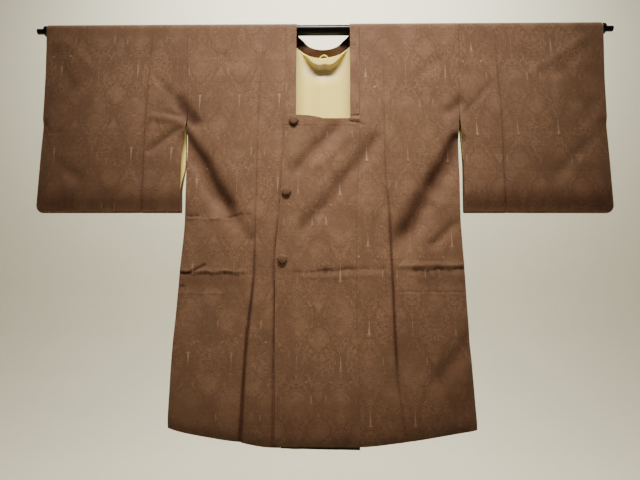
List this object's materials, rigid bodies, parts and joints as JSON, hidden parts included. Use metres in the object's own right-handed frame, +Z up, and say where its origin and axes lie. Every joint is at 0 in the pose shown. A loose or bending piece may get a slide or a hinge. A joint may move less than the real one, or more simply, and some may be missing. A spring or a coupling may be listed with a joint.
{
  "type": "michiyuki coat on a display rod",
  "caption": "Lined silk michiyuki coat with a square neck and an overlapping buttoned front, hung flat over a straight display rod.",
  "frame": {"origin": "centre of the display rod, on its axis and midway between the cuffs", "axes": "+X along the rod to the wearer's left, -Y out of the coat's front, +Z up"},
  "size_m": [1.38, 0.0587, 0.9883],
  "materials": {
    "outer_silk": "tone-on-tone brown jacquard, soft sheen",
    "lining_satin": "cream satin",
    "cord": "cream cord",
    "lacquer": "gloss black lacquer"
  },
  "bodies": {
    "root": {"body_left": "outer_silk", "body_right": "outer_silk", "sleeve_left": "outer_silk", "sleeve_right": "outer_silk", "gusset_left": "outer_silk", "gusset_right": "outer_silk", "front_band_left": "outer_silk", "front_band_right": "outer_silk", "neck_band": "outer_silk", "neck_band_front": "outer_silk", "neck_band_under": "outer_silk", "button_1": "outer_silk", "button_2": "outer_silk", "button_3": "outer_silk", "lining_yoke": "lining_satin", "lining_sleeve_left": "lining_satin", "lining_sleeve_right": "lining_satin", "hanging_loop": "cord", "rod": "lacquer", "rod_end_left": "lacquer", "rod_end_right": "lacquer"}
  },
  "joints": []
}
